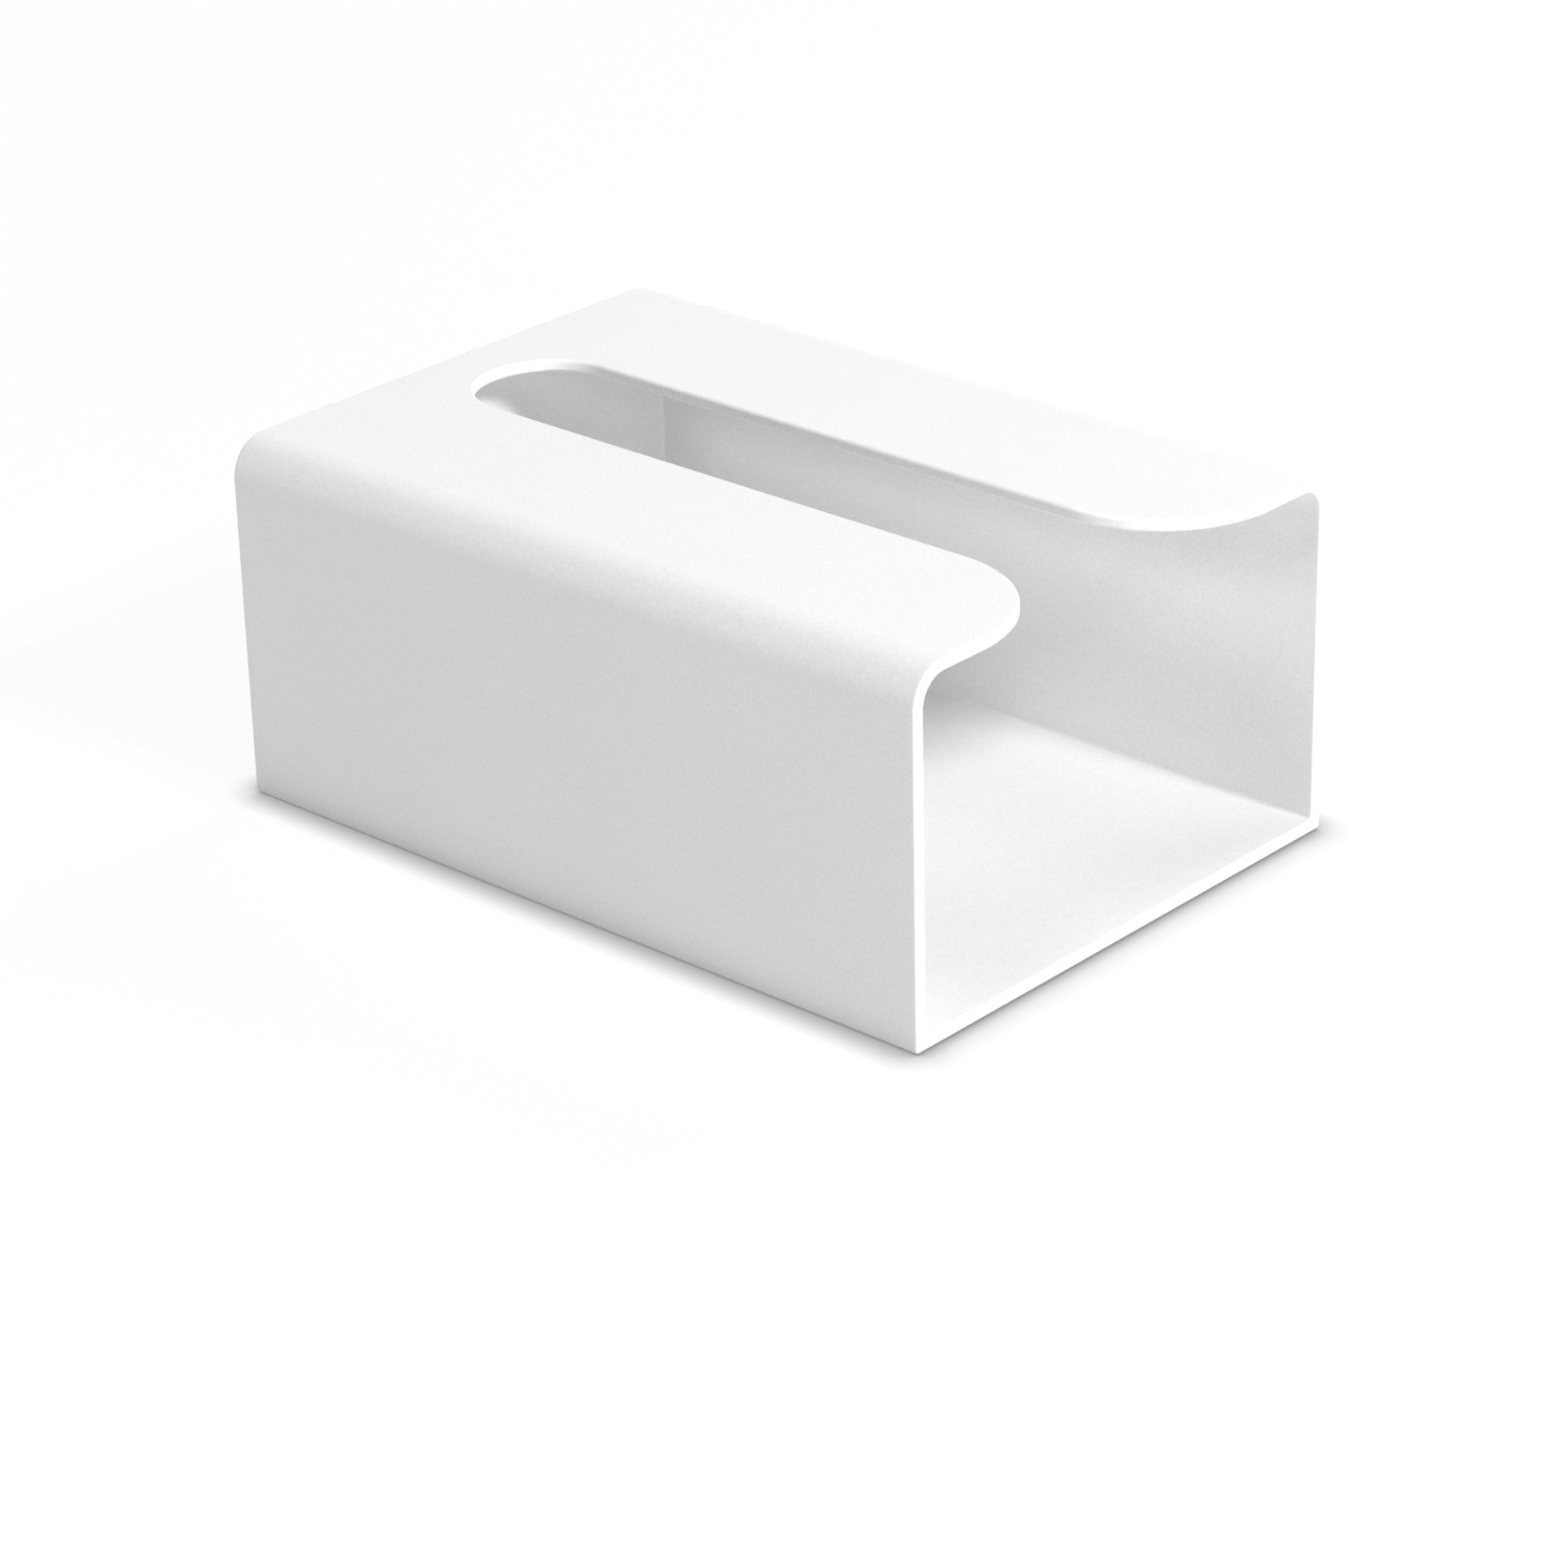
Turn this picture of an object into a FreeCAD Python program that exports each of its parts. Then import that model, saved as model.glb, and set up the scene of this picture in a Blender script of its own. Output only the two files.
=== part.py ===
import FreeCAD, Part
import math
import os

from FreeCAD import Vector

# Wall-mounted tissue box. A thin-walled shell is closed at its left end and open at its
# right end, where a soft pack of tissues slides in. Tissues are drawn through the slot
# in the top. Two strips of foam tape on the back hold the box on a wall. Each strip
# still has its release liner, which is peeled off before the box is hung.
#
# Millimetres. +X runs along the box to its open end, +Y points at the wall that the box
# hangs on, and +Z is up. The origin is the middle of the footprint, at the underside.

# Shell, outside
width = 200.0
depth = 139.0
height = 86.0
wall = 3.0

# Outside radii of the two bends along the top, seen from the open end
front_bend_radius = 9.5
rear_bend_radius = 9.0

# Pull slot in the top, half way between the front and the back
slot_width = 34.0
slot_end_margin = 14.0  # solid top between the left end and the round end of the slot
mouth_radius = 30.5  # tongue corners, where the slot runs out at the open end

# Small radii left by the mould
edge_round = 0.8
inner_corner_radius = 0.8

# Foam tape on the back, under its release liner
tape_height = 20.0
tape_thickness = 1.0
tape_side_margin = 20.0  # from each end of the shell
tape_flat_margin = 8.0  # from the underside, and from the start of the rear bend
tape_corner_radius = 3.0
liner_thickness = 0.12

overshoot = 10.0  # how far a cutting tool runs past the face that it opens
same_place = 1e-4  # nearer than this counts as on a plane

# Planes that the features share
left_x = -width / 2
right_x = width / 2
overall_depth = depth + tape_thickness + liner_thickness
front_y = -overall_depth / 2
back_y = front_y + depth
middle_y = front_y + depth / 2


def corner_arc(before, corner, after, radius):
    """Where an arc of this radius leaves and meets the legs of a square corner, with the
    point half way round it between them."""
    to_before = (before - corner).normalize() * radius
    to_after = (after - corner).normalize() * radius
    centre = corner + to_before + to_after
    half_way = centre + (corner - centre).normalize() * radius
    return corner + to_before, half_way, corner + to_after


def rounded_outline(corners, radii):
    """A closed wire through square corners, each with its own radius. A radius of zero
    leaves that corner sharp."""
    arcs = []
    for i, corner in enumerate(corners):
        before, after = corners[i - 1], corners[(i + 1) % len(corners)]
        if radii[i]:
            arcs.append(corner_arc(before, corner, after, radii[i]))
        else:
            arcs.append((corner, None, corner))
    edges = []
    for i, (start, half_way, end) in enumerate(arcs):
        if half_way:
            edges.append(Part.Arc(start, half_way, end).toShape())
        next_start = arcs[(i + 1) % len(arcs)][0]
        edges.append(Part.LineSegment(end, next_start).toShape())
    return Part.Wire(edges)


def bent_section(x, inset, lower_radius):
    """The section across the box at x, drawn inside the outer faces by inset: square or
    slightly rounded below, with the two bends above."""
    low_y, high_y = front_y + inset, back_y - inset
    low_z, high_z = inset, height - inset
    corners = [
        Vector(x, low_y, low_z),
        Vector(x, high_y, low_z),
        Vector(x, high_y, high_z),
        Vector(x, low_y, high_z),
    ]
    bends = [rear_bend_radius - inset, front_bend_radius - inset]
    return Part.Face(rounded_outline(corners, [lower_radius, lower_radius] + bends))


def edges_at_x(solid, x):
    """Every edge that lies in the plane at x."""
    return [
        edge
        for edge in solid.Edges
        if abs(edge.BoundBox.XMin - x) < same_place and abs(edge.BoundBox.XMax - x) < same_place
    ]


def crease_angle(solid, edge):
    """Degrees between the two faces that meet along an edge, or zero on a seam."""
    middle = edge.valueAt((edge.FirstParameter + edge.LastParameter) / 2)
    normals = []
    for face in solid.ancestorsOfType(edge, Part.Face):
        normals.append(face.normalAt(*face.Surface.parameter(middle)))
    if len(normals) < 2:
        return 0.0
    return math.degrees(normals[0].getAngle(normals[1]))


def sharp_edges(solid):
    """Every edge where the surface turns a corner, rather than running on smoothly."""
    smallest_crease = 10.0
    return [edge for edge in solid.Edges if crease_angle(solid, edge) > smallest_crease]


def make_cavity():
    """The space inside the walls, run out past the open end."""
    inner_left_x = left_x + wall
    section = bent_section(inner_left_x, wall, inner_corner_radius)
    cavity = section.extrude(Vector(width - wall + overshoot, 0, 0))
    return cavity.makeFillet(inner_corner_radius, edges_at_x(cavity, inner_left_x))


def make_slot_cut():
    """A straight-sided slot with a round left end, run out past the open end."""
    start_x, past_x = left_x + slot_end_margin, right_x + overshoot
    low_y, high_y = middle_y - slot_width / 2, middle_y + slot_width / 2
    base_z = height - wall - overshoot
    centre_x = start_x + slot_width / 2
    front_start = Vector(centre_x, low_y, base_z)
    front_end = Vector(past_x, low_y, base_z)
    rear_start = Vector(centre_x, high_y, base_z)
    rear_end = Vector(past_x, high_y, base_z)
    tip = Vector(start_x, middle_y, base_z)
    outline = [
        Part.LineSegment(rear_end, rear_start),
        Part.Arc(rear_start, tip, front_start),
        Part.LineSegment(front_start, front_end),
        Part.LineSegment(front_end, rear_end),
    ]
    face = Part.Face(Part.Wire([curve.toShape() for curve in outline]))
    return face.extrude(Vector(0, 0, wall + 2 * overshoot))


def tongue_corners(shell):
    """The two upright edges where the sides of the slot meet the open end."""
    corners = []
    for edge in edges_at_x(shell, right_x):
        box = edge.BoundBox
        upright = box.YLength < same_place and box.ZMin > height - wall - same_place
        beside_slot = abs(abs(box.Center.y - middle_y) - slot_width / 2) < same_place
        if upright and beside_slot:
            corners.append(edge)
    return corners


def make_shell():
    shell = bent_section(left_x, 0.0, 0.0).extrude(Vector(width, 0, 0))
    shell = shell.cut(make_cavity())
    shell = shell.cut(make_slot_cut())
    shell = shell.makeFillet(mouth_radius, tongue_corners(shell))
    return shell.makeFillet(edge_round, sharp_edges(shell))


def make_strip(start_y, thickness, low_z):
    """A flat strip on the back with round corners, its lower edge at low_z."""
    low_x, high_x = left_x + tape_side_margin, right_x - tape_side_margin
    high_z = low_z + tape_height
    corners = [
        Vector(low_x, start_y, low_z),
        Vector(high_x, start_y, low_z),
        Vector(high_x, start_y, high_z),
        Vector(low_x, start_y, high_z),
    ]
    outline = rounded_outline(corners, [tape_corner_radius] * len(corners))
    return Part.Face(outline).extrude(Vector(0, thickness, 0))


def make_tape(low_z):
    return make_strip(back_y, tape_thickness, low_z)


def make_liner(low_z):
    return make_strip(back_y + tape_thickness, liner_thickness, low_z)


def save(shape, node):
    solid = shape.Solids[0]
    if len(shape.Solids) != 1 or not solid.isValid():
        raise ValueError(f"{node} is not one sound solid")
    solid.exportStep(f"parts/{node}.step")
    box = solid.optimalBoundingBox()
    size = f"{box.XLength:.2f} x {box.YLength:.2f} x {box.ZLength:.2f} mm"
    print(f"{node}: {size}, {solid.Volume / 1000:.1f} cm3")


upper_tape_z = height - rear_bend_radius - tape_flat_margin - tape_height
lower_tape_z = tape_flat_margin

os.makedirs("parts", exist_ok=True)
save(make_shell(), "shell")
save(make_tape(upper_tape_z), "upper_foam_tape")
save(make_tape(lower_tape_z), "lower_foam_tape")
save(make_liner(upper_tape_z), "upper_release_liner")
save(make_liner(lower_tape_z), "lower_release_liner")
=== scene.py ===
import math

import bmesh
import bpy
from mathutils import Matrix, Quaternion, Vector
from mathutils.noise import noise as unevenAt


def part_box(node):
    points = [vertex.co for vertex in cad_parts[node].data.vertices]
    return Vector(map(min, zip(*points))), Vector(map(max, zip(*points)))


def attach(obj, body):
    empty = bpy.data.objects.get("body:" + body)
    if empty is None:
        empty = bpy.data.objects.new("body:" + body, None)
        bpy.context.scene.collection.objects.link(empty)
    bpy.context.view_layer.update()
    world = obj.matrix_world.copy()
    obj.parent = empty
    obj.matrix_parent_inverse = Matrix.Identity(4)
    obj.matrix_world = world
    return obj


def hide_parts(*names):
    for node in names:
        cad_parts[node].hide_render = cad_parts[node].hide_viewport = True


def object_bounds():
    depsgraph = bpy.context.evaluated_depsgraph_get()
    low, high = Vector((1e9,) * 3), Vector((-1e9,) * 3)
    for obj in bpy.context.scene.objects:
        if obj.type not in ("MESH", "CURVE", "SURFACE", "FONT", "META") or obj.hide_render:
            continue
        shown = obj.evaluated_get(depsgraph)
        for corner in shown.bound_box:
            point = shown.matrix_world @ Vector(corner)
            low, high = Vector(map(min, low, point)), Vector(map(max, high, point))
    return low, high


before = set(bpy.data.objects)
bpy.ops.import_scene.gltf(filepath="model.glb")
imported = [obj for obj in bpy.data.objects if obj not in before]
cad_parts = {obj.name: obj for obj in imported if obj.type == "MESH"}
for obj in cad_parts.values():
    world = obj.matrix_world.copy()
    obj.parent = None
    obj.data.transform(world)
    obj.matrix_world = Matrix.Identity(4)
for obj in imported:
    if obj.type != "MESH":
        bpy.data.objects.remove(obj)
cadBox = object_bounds()
print("frame loaded:", ", ".join(sorted(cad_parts)))

mm = 0.001


# Small helpers for building node trees

def feed(tree, socket, value):
    if isinstance(value, bpy.types.NodeSocket):
        tree.links.new(value, socket)
    else:
        socket.default_value = value


def addNode(tree, kind, inputs=None, **settings):
    node = tree.nodes.new(kind)
    for name, value in settings.items():
        setattr(node, name, value)
    for name, value in (inputs or {}).items():
        feed(tree, node.inputs[name], value)
    return node


def calculate(tree, operation, first, second):
    return addNode(tree, "ShaderNodeMath", {0: first, 1: second}, operation=operation).outputs[0]


def remap(tree, value, fromLow, fromHigh, toLow, toHigh, kind="LINEAR"):
    limits = {"Value": value, "From Min": fromLow, "From Max": fromHigh, "To Min": toLow, "To Max": toHigh}
    return addNode(tree, "ShaderNodeMapRange", limits, interpolation_type=kind).outputs["Result"]


def blendColors(tree, mask, first, second):
    colors = {0: mask, 6: first, 7: second}  # a Mix node has its colour sockets at 6, 7 and, going out, 2
    return addNode(tree, "ShaderNodeMix", colors, data_type="RGBA").outputs[2]


def noise(tree, vector, size, detail, roughness=0.5):
    scale = calculate(tree, "DIVIDE", 1.0, size)
    inputs = {"Vector": vector, "Scale": scale, "Detail": detail, "Roughness": roughness}
    return addNode(tree, "ShaderNodeTexNoise", inputs).outputs["Fac"]


def newGroup(name, inputs, outputs):
    tree = bpy.data.node_groups.new(name, "ShaderNodeTree")
    for label, kind in inputs:
        tree.interface.new_socket(name=label, in_out="INPUT", socket_type=kind)
    for label, kind in outputs:
        tree.interface.new_socket(name=label, in_out="OUTPUT", socket_type=kind)
    start = tree.nodes.new("NodeGroupInput")
    end = tree.nodes.new("NodeGroupOutput")
    return tree, start.outputs, end.inputs


def placeGroup(tree, group, **inputs):
    node = tree.nodes.new("ShaderNodeGroup")
    node.node_tree = group
    for label, value in inputs.items():
        feed(tree, node.inputs[label], value)
    return node.outputs


# 1 where the camera, a reflection or glass looks straight at a surface or at the world
def lookedAt(tree, path):
    seen = calculate(tree, "MAXIMUM", path["Is Camera Ray"], path["Is Glossy Ray"])
    return calculate(tree, "MAXIMUM", seen, path["Is Transmission Ray"])


# Effects that more than one material uses

effectLook = {
    "grainDetail": 3.0,
    "grainBreakup": 0.6,
    "waveDetail": 1.0,
    "patchDetail": 4.0,
    "patchBreakup": 0.55,
    "patchFade": (0.35, 0.65),  # noise values between which one tone turns into the other
    "speckCore": 0.4,  # share of a speck's radius that is at full strength
}


def makeFineGrain(look):
    tree, given, out = newGroup(
        "fineGrain",
        [("Vector", "NodeSocketVector"), ("GrainSize", "NodeSocketFloat"),
         ("WaveSize", "NodeSocketFloat"), ("WaveShare", "NodeSocketFloat")],
        [("Height", "NodeSocketFloat"), ("Mask", "NodeSocketFloat")],
    )
    grain = noise(tree, given["Vector"], given["GrainSize"], look["grainDetail"], look["grainBreakup"])
    wave = noise(tree, given["Vector"], given["WaveSize"], look["waveDetail"])
    tree.links.new(grain, out["Mask"])
    waved = calculate(tree, "MULTIPLY", wave, given["WaveShare"])
    tree.links.new(calculate(tree, "ADD", grain, waved), out["Height"])
    return tree


def makeToneDrift(look):
    tree, given, out = newGroup(
        "toneDrift",
        [("Vector", "NodeSocketVector"), ("Tone", "NodeSocketColor"),
         ("OtherTone", "NodeSocketColor"), ("PatchSize", "NodeSocketFloat")],
        [("Color", "NodeSocketColor")],
    )
    patches = noise(tree, given["Vector"], given["PatchSize"], look["patchDetail"], look["patchBreakup"])
    mask = remap(tree, patches, *look["patchFade"], 0.0, 1.0, "SMOOTHSTEP")
    tree.links.new(blendColors(tree, mask, given["Tone"], given["OtherTone"]), out["Color"])
    return tree


def makeSpecks(look):
    tree, given, out = newGroup(
        "specks",
        [("Vector", "NodeSocketVector"), ("Spacing", "NodeSocketFloat"),
         ("SpeckSize", "NodeSocketFloat"), ("Share", "NodeSocketFloat")],
        [("Mask", "NodeSocketFloat")],
    )
    scale = calculate(tree, "DIVIDE", 1.0, given["Spacing"])
    cells = addNode(tree, "ShaderNodeTexVoronoi", {"Vector": given["Vector"], "Scale": scale})
    away = calculate(tree, "MULTIPLY", cells.outputs["Distance"], given["Spacing"])
    near = calculate(tree, "DIVIDE", away, given["SpeckSize"])
    dot = remap(tree, near, look["speckCore"], 1.0, 1.0, 0.0, "SMOOTHSTEP")
    split = addNode(tree, "ShaderNodeSeparateColor", {"Color": cells.outputs["Color"]})
    chosen = calculate(tree, "LESS_THAN", split.outputs[0], given["Share"])
    tree.links.new(calculate(tree, "MULTIPLY", dot, chosen), out["Mask"])
    return tree


fineGrain = makeFineGrain(effectLook)
toneDrift = makeToneDrift(effectLook)
specks = makeSpecks(effectLook)
print("shared effects ready")


def newMaterial(name):
    material = bpy.data.materials.new(name)
    material.use_nodes = True
    tree = material.node_tree
    tree.nodes.clear()
    output = tree.nodes.new("ShaderNodeOutputMaterial")
    place = tree.nodes.new("ShaderNodeTexCoord").outputs["Object"]
    return material, tree, output.inputs["Surface"], place


# The box itself: satin white plastic with the fine grain of a blasted mould

shellLook = {
    "tone": (0.95, 0.95, 0.95, 1),
    "otherTone": (0.937, 0.938, 0.94, 1),
    "patchSize": 45 * mm,
    "grainSize": 0.7 * mm,
    "grainTone": (0.80, 0.80, 0.80, 1),
    "grainStrength": 0.50,
    "grainFade": (0.65, 0.35),  # noise values where the grain's tone starts and is at full strength
    "waveSize": 28 * mm,
    "waveShare": 3.0,
    "grainDepth": 0.022 * mm,
    "roughness": (0.40, 0.50),
    "roughnessFade": (0.3, 0.7),
    "ior": 1.5,
    "speckTone": (0.55, 0.55, 0.54, 1),
    "speckSpacing": 16 * mm,
    "speckSize": 0.40 * mm,
    "speckShare": 0.22,
    "speckStrength": 0.7,
}


def makeShellPlastic(look):
    material, tree, surface, place = newMaterial("satinWhitePlastic")
    grain = placeGroup(tree, fineGrain, Vector=place, GrainSize=look["grainSize"],
                       WaveSize=look["waveSize"], WaveShare=look["waveShare"])
    drift = placeGroup(tree, toneDrift, Vector=place, Tone=look["tone"],
                       OtherTone=look["otherTone"], PatchSize=look["patchSize"])
    marks = placeGroup(tree, specks, Vector=place, Spacing=look["speckSpacing"],
                       SpeckSize=look["speckSize"], Share=look["speckShare"])
    dips = remap(tree, grain["Mask"], *look["grainFade"], 0.0, look["grainStrength"])
    grained = blendColors(tree, dips, drift["Color"], look["grainTone"])
    strength = calculate(tree, "MULTIPLY", marks["Mask"], look["speckStrength"])
    color = blendColors(tree, strength, grained, look["speckTone"])
    gloss = remap(tree, grain["Mask"], *look["roughnessFade"], *look["roughness"])
    bump = addNode(tree, "ShaderNodeBump", {"Height": grain["Height"], "Distance": look["grainDepth"]})
    shader = addNode(tree, "ShaderNodeBsdfPrincipled", {
        "Base Color": color, "Roughness": gloss, "Normal": bump.outputs["Normal"], "IOR": look["ior"]})
    tree.links.new(shader.outputs["BSDF"], surface)
    return material


# The foam strips: off-white closed cells, open where the strip was cut

foamLook = {
    "tone": (0.80, 0.80, 0.78, 1),
    "otherTone": (0.74, 0.74, 0.72, 1),
    # painted shade in the hollow of each cell
    "pitShadeTone": (0.52, 0.52, 0.50, 1),
    "patchSize": 6 * mm,
    "cellSize": 0.22 * mm,
    "cellDepth": 0.05 * mm,
    "cellFade": (0.1, 0.6),  # from the pit in a cell's middle to its wall
    "roughness": (0.95, 0.80),  # in the pits and on the walls
}


def makeFoam(look):
    material, tree, surface, place = newMaterial("closedCellFoam")
    drift = placeGroup(tree, toneDrift, Vector=place, Tone=look["tone"],
                       OtherTone=look["otherTone"], PatchSize=look["patchSize"])
    cells = addNode(tree, "ShaderNodeTexVoronoi", {"Vector": place, "Scale": 1 / look["cellSize"]})
    wall = remap(tree, cells.outputs["Distance"], *look["cellFade"], 0.0, 1.0, "SMOOTHSTEP")
    # Painted shade: the hollow in the middle of each cell is coloured darker than the foam itself
    color = blendColors(tree, wall, look["pitShadeTone"], drift["Color"])
    gloss = remap(tree, wall, 0.0, 1.0, *look["roughness"])
    bump = addNode(tree, "ShaderNodeBump", {"Height": wall, "Distance": look["cellDepth"]})
    shader = addNode(tree, "ShaderNodeBsdfPrincipled", {
        "Base Color": color, "Roughness": gloss, "Normal": bump.outputs["Normal"]})
    tree.links.new(shader.outputs["BSDF"], surface)
    return material


# The release liners: cream silicone-coated paper with a faint lay of fibres along the roll

linerLook = {
    "tone": (0.84, 0.79, 0.66, 1),
    "otherTone": (0.80, 0.745, 0.61, 1),
    "fibreTone": (0.70, 0.64, 0.50, 1),
    "patchSize": 9 * mm,
    "fibreLength": 3.0 * mm,
    "fibreWidth": 0.25 * mm,
    "fibreDetail": 2.0,
    "fibreFade": (0.55, 0.75),
    "fibreStrength": 0.35,
    "grainSize": 0.3 * mm,
    "waveSize": 12 * mm,
    "waveShare": 4.0,
    "grainDepth": 0.006 * mm,
    "roughness": (0.28, 0.40),
    "roughnessFade": (0.3, 0.7),
}


def makeLiner(look):
    material, tree, surface, place = newMaterial("coatedLinerPaper")
    drift = placeGroup(tree, toneDrift, Vector=place, Tone=look["tone"],
                       OtherTone=look["otherTone"], PatchSize=look["patchSize"])
    squeeze = look["fibreWidth"] / look["fibreLength"]
    along = addNode(tree, "ShaderNodeMapping", {"Vector": place, "Scale": (squeeze, 1, 1)})
    lay = noise(tree, along.outputs["Vector"], look["fibreWidth"], look["fibreDetail"])
    fibres = remap(tree, lay, *look["fibreFade"], 0.0, look["fibreStrength"], "SMOOTHSTEP")
    color = blendColors(tree, fibres, drift["Color"], look["fibreTone"])
    grain = placeGroup(tree, fineGrain, Vector=place, GrainSize=look["grainSize"],
                       WaveSize=look["waveSize"], WaveShare=look["waveShare"])
    gloss = remap(tree, grain["Mask"], *look["roughnessFade"], *look["roughness"])
    bump = addNode(tree, "ShaderNodeBump", {"Height": grain["Height"], "Distance": look["grainDepth"]})
    shader = addNode(tree, "ShaderNodeBsdfPrincipled", {
        "Base Color": color, "Roughness": gloss, "Normal": bump.outputs["Normal"]})
    tree.links.new(shader.outputs["BSDF"], surface)
    return material


def dress(piece, material):
    piece.data.materials.clear()
    piece.data.materials.append(material)


dress(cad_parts["shell"], makeShellPlastic(shellLook))
liner = makeLiner(linerLook)
for name in ("upper_release_liner", "lower_release_liner"):
    dress(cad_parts[name], liner)
print("shell and liners dressed")


# Each foam strip is a length cut from a roll. Its faces are pressed flat against the shell
# and the liner, and its cut sides swell a little between them.

foamStrip = {
    "cornerRadius": 3 * mm,
    "cornerSegments": 8,
    "step": 0.8 * mm,  # between the cuts along and across the strip
    "layers": 6,  # through the thickness
    "faceInset": 0.10 * mm,
    "middleInset": 0.02 * mm,
    "unevenness": 0.06 * mm,
    "unevenSize": 2.2 * mm,
    "clearance": 0.01 * mm,  # from the shell and from the liner
    "samePlace": 0.001 * mm,  # nearer than this counts as on a cut or on the outline
    "sharpFrom": 50,  # degrees
}


def evenPlaces(start, end, count):
    return [start + (end - start) * i / count for i in range(count + 1)]


def sliceAt(built, normal, places, samePlace):
    for place in places:
        everything = built.verts[:] + built.edges[:] + built.faces[:]
        bmesh.ops.bisect_plane(built, geom=everything, dist=samePlace,
                               plane_co=normal * place, plane_no=normal)


def overhang(value, limit):
    return math.copysign(max(abs(value) - limit, 0), value)


# A block with four round corners, standing between low and high
def makeRoundedBlock(low, high, shape):
    size = high - low
    built = bmesh.new()
    bmesh.ops.create_cube(built, size=1)
    bmesh.ops.scale(built, vec=size, verts=built.verts)
    bmesh.ops.translate(built, vec=(low + high) / 2, verts=built.verts)
    through = [edge for edge in built.edges if abs(edge.verts[0].co.y - edge.verts[1].co.y) > size.y / 2]
    bmesh.ops.bevel(built, geom=through, offset=shape["cornerRadius"], offset_type="OFFSET",
                    affect="EDGES", segments=shape["cornerSegments"], profile=0.5, material=-1)
    return built


# Fine cuts between the round corners, and through the thickness
def sliceBlock(built, middle, straight, thickness, shape):
    slices = (
        (Vector((1, 0, 0)), straight.x, math.ceil(2 * straight.x / shape["step"])),
        (Vector((0, 0, 1)), straight.z, math.ceil(2 * straight.z / shape["step"])),
        (Vector((0, 1, 0)), thickness / 2, shape["layers"]),
    )
    for normal, reach, count in slices:
        place = middle.dot(normal)
        sliceAt(built, normal, evenPlaces(place - reach, place + reach, count), shape["samePlace"])


# The cut sides come in a little, most beside the pressed faces
def drawSidesIn(built, middle, straight, thickness, shape):
    for vert in built.verts:
        away = vert.co - middle
        out = Vector((overhang(away.x, straight.x), 0, overhang(away.z, straight.z)))
        if out.length < shape["cornerRadius"] - shape["samePlace"]:
            continue
        pressed = (2 * away.y / thickness) ** 2
        inset = shape["middleInset"] + (shape["faceInset"] - shape["middleInset"]) * pressed
        dip = shape["unevenness"] * (1 + unevenAt(vert.co / shape["unevenSize"])) / 2
        vert.co -= out.normalized() * (inset + dip)


def makeFoamStrip(node, shape, material):
    low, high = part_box(node)
    low.y += shape["clearance"]
    high.y -= shape["clearance"]
    middle, size = (low + high) / 2, high - low
    radius = shape["cornerRadius"]
    straight = Vector((size.x / 2 - radius, 0, size.z / 2 - radius))  # from the middle to the round corners
    built = makeRoundedBlock(low, high, shape)
    sliceBlock(built, middle, straight, size.y, shape)
    drawSidesIn(built, middle, straight, size.y, shape)
    bmesh.ops.recalc_face_normals(built, faces=built.faces)
    for face in built.faces:
        face.smooth = True
    for edge in built.edges:
        edge.smooth = edge.calc_face_angle(0.0) < math.radians(shape["sharpFrom"])
    name = node.replace("tape", "strip")
    mesh = bpy.data.meshes.new(name)
    built.to_mesh(mesh)
    built.free()
    strip = bpy.data.objects.new(name, mesh)
    bpy.context.scene.collection.objects.link(strip)
    dress(strip, material)
    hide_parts(node)
    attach(strip, "root")


foam = makeFoam(foamLook)
for name in ("upper_foam_tape", "lower_foam_tape"):
    makeFoamStrip(name, foamStrip, foam)
print("foam strips made")


# Floor, world, lamps and camera

floorLook = {
    "reach": 6.0,  # metres each way
    "drop": 0.4 * mm,  # keeps it clear of the underside
    "bounceTone": 0.90,
    "seenTone": 0.08,
    "seenGlow": 0.925,
    "contactReach": 8.5 * mm,  # how far the shade under the edges spreads
    "contactSamples": 4,
    "contactOpen": 0.45,  # openness beside the underside, where the shade is deepest
    "contactTone": 0.31,
}


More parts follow.
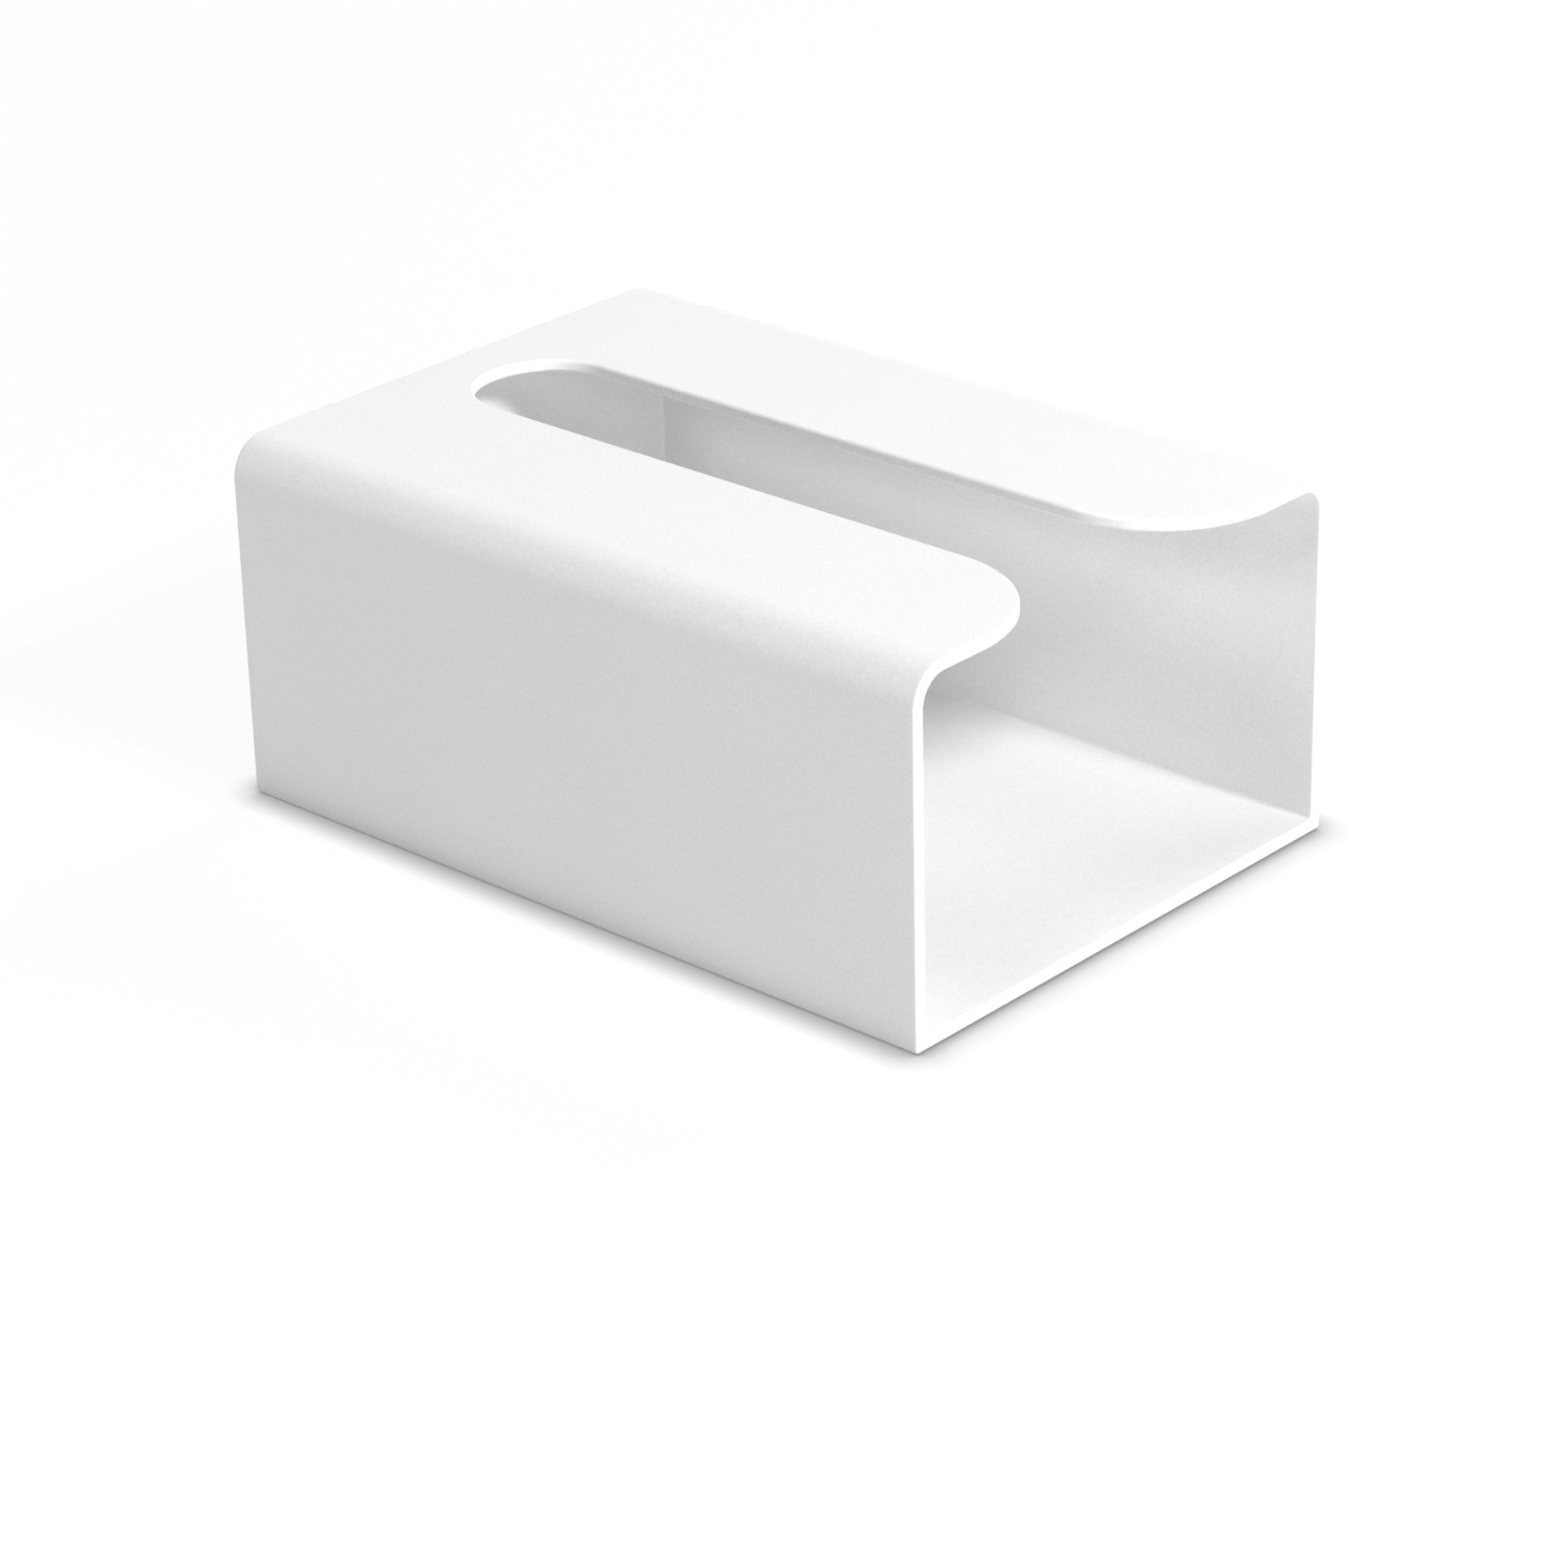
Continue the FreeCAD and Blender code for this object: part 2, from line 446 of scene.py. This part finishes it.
def makeFloor(look):
    material, tree, surface, place = newMaterial("paleFloor")
    path = tree.nodes.new("ShaderNodeLightPath").outputs
    near = addNode(tree, "ShaderNodeAmbientOcclusion", {"Distance": look["contactReach"]},
                   samples=look["contactSamples"])
    # Painted contact shadow: near the box the floor's colour and glow are darkened by how closed in each
    # point is
    shade = remap(tree, near.outputs["AO"], look["contactOpen"], 1.0, look["contactTone"], 1.0)
    bounceTone = calculate(tree, "MULTIPLY", shade, look["bounceTone"])
    seenTone = calculate(tree, "MULTIPLY", shade, look["seenTone"])
    seenGlow = calculate(tree, "MULTIPLY", shade, look["seenGlow"])
    bounce = addNode(tree, "ShaderNodeBsdfDiffuse", {"Color": bounceTone})
    lit = addNode(tree, "ShaderNodeBsdfDiffuse", {"Color": seenTone})
    glow = addNode(tree, "ShaderNodeEmission", {"Strength": seenGlow})
    shown = addNode(tree, "ShaderNodeAddShader", {0: lit.outputs[0], 1: glow.outputs[0]})
    parts = {0: lookedAt(tree, path), 1: bounce.outputs[0], 2: shown.outputs[0]}
    both = addNode(tree, "ShaderNodeMixShader", parts)
    # Clear from below, and right under the box it lets the light from below through
    low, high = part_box("shell")
    below = tree.nodes.new("ShaderNodeNewGeometry").outputs["Backfacing"]
    offset = addNode(tree, "ShaderNodeVectorMath", {0: place, 1: (low + high) / 2}, operation="SUBTRACT")
    away = addNode(tree, "ShaderNodeVectorMath", {0: offset.outputs[0]}, operation="ABSOLUTE")
    split = addNode(tree, "ShaderNodeSeparateXYZ", {0: away.outputs[0]}).outputs
    underX = calculate(tree, "LESS_THAN", split["X"], (high.x - low.x) / 2)
    underY = calculate(tree, "LESS_THAN", split["Y"], (high.y - low.y) / 2)
    under = calculate(tree, "MULTIPLY", underX, underY)
    passing = calculate(tree, "MULTIPLY", under, path["Is Shadow Ray"])
    hidden = calculate(tree, "MAXIMUM", below, passing)
    clear = tree.nodes.new("ShaderNodeBsdfTransparent")
    oneSided = addNode(tree, "ShaderNodeMixShader", {0: hidden, 1: both.outputs[0], 2: clear.outputs[0]})
    tree.links.new(oneSided.outputs[0], surface)
    mesh = bpy.data.meshes.new("floor")
    plane = bmesh.new()
    bmesh.ops.create_grid(plane, x_segments=1, y_segments=1, size=look["reach"])
    bmesh.ops.translate(plane, vec=(0, 0, cadBox[0].z - look["drop"]), verts=plane.verts)
    plane.to_mesh(mesh)
    plane.free()
    floor = bpy.data.objects.new("floor", mesh)
    bpy.context.scene.collection.objects.link(floor)
    dress(floor, material)


worldLook = {"color": (1, 1, 1, 1), "fill": 0.016, "seen": 1.0}


def makeWorld(look):
    world = bpy.data.worlds.new("studio")
    bpy.context.scene.world = world
    world.use_nodes = True
    tree = world.node_tree
    tree.nodes.clear()
    seen = lookedAt(tree, tree.nodes.new("ShaderNodeLightPath").outputs)
    fill = addNode(tree, "ShaderNodeBackground", {"Color": look["color"], "Strength": look["fill"]})
    white = addNode(tree, "ShaderNodeBackground", {"Color": look["color"], "Strength": look["seen"]})
    both = addNode(tree, "ShaderNodeMixShader", {0: seen, 1: fill.outputs[0], 2: white.outputs[0]})
    output = tree.nodes.new("ShaderNodeOutputWorld")
    tree.links.new(both.outputs[0], output.inputs["Surface"])


# azimuth 0 is in front of the box and 90 off its open end
lamps = {
    "key": {"azimuth": 90, "elevation": 40, "distance": 3.2, "size": 0.7, "power": 88.4},
    "low": {"azimuth": 60, "elevation": 8, "distance": 3.2, "size": 1.6, "power": 28.0},
    "front": {"azimuth": 0, "elevation": 30, "distance": 3.2, "size": 0.7, "power": 14.0},
    "left": {"azimuth": -90, "elevation": 60, "distance": 3.2, "size": 1.6, "power": 10.2},
    "behind": {"azimuth": 180, "elevation": 40, "distance": 3.2, "size": 1.6, "power": 40.2},
    "under": {"azimuth": 0, "elevation": -85, "distance": 3.2, "size": 1.6, "power": 40.0},
}


def direction(azimuth, elevation):
    a, e = math.radians(azimuth), math.radians(elevation)
    return Vector((math.sin(a) * math.cos(e), -math.cos(a) * math.cos(e), math.sin(e)))


def makeLamps():
    middle = (cadBox[0] + cadBox[1]) / 2
    for name, lamp in lamps.items():
        light = bpy.data.lights.new(name, "AREA")
        light.shape = "DISK"
        light.size = lamp["size"]
        light.energy = lamp["power"]
        holder = bpy.data.objects.new(name, light)
        towards = direction(lamp["azimuth"], lamp["elevation"])
        holder.location = middle + towards * lamp["distance"]
        holder.rotation_euler = (-towards).to_track_quat("-Z", "Y").to_euler()
        holder.visible_camera = False
        bpy.context.scene.collection.objects.link(holder)


cameraPlace = {
    "azimuth": 42.39,
    "elevation": 25.26,
    "roll": -1.28,
    "distance": 1.0706,
    "lens": 110.55,
    "aim": (13.28 * mm, -13.87 * mm, 15.05 * mm),
}


def makeCamera(place):
    camera = bpy.data.objects.new("camera", bpy.data.cameras.new("camera"))
    bpy.context.scene.collection.objects.link(camera)
    back = direction(place["azimuth"], place["elevation"])
    camera.data.lens = place["lens"]
    camera.location = Vector(place["aim"]) + back * place["distance"]
    turn = (-back).to_track_quat("-Z", "Y") @ Quaternion((0, 0, 1), math.radians(place["roll"]))
    camera.rotation_mode = "QUATERNION"
    camera.rotation_quaternion = turn
    bpy.context.scene.camera = camera


makeFloor(floorLook)
makeWorld(worldLook)
makeLamps()
makeCamera(cameraPlace)
bpy.context.scene.view_settings.view_transform = "Standard"
print("studio ready")
